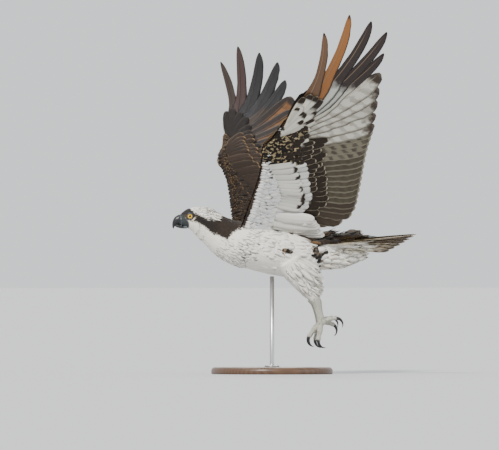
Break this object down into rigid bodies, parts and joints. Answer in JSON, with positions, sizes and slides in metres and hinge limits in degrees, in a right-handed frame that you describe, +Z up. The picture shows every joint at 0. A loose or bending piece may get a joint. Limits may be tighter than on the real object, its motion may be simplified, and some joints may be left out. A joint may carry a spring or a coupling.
{
  "type": "osprey display model",
  "caption": "Life-size still model of an osprey leaping into flight with both wings raised in a V, held by a rod on a round wooden base.",
  "frame": {"origin": "centre of the underside of the stand's base, on the surface it stands on", "axes": "+Z up, -X the way the bird faces, -Y to the bird's left; Y is the longest extent, across both wings"},
  "size_m": [0.5772, 1.0521, 0.8212],
  "materials": {
    "white_plumage": "soft overlapping white body feathers",
    "brown_plumage": "soft dark brown feathers with pale edges",
    "flight_feathers": "satin barred vanes, paler below",
    "horn": "smooth semi-gloss black horn, blue-grey at the root",
    "eye": "wet gloss, yellow iris, black pupil",
    "foot_skin": "rough pale grey-green scales",
    "talon": "polished black horn",
    "stand_wood": "dark stained wood, satin varnish",
    "stand_steel": "brushed"
  },
  "bodies": {
    "root": {"head": "white_plumage", "neck": "brown_plumage", "torso": "white_plumage", "tail": "flight_feathers", "bill_upper": "horn", "bill_lower": "horn", "eye_left": "eye", "eye_right": "eye", "wing_left": "flight_feathers", "wing_right": "flight_feathers", "thigh_left": "white_plumage", "tarsus_left": "foot_skin", "foot_left": "foot_skin", "talon_left_inner": "talon", "talon_left_middle": "talon", "talon_left_outer": "talon", "talon_left_hind": "talon", "thigh_right": "white_plumage", "tarsus_right": "foot_skin", "foot_right": "foot_skin", "talon_right_inner": "talon", "talon_right_middle": "talon", "talon_right_outer": "talon", "talon_right_hind": "talon", "stand_base": "stand_wood", "stand_rod": "stand_steel"}
  },
  "joints": []
}
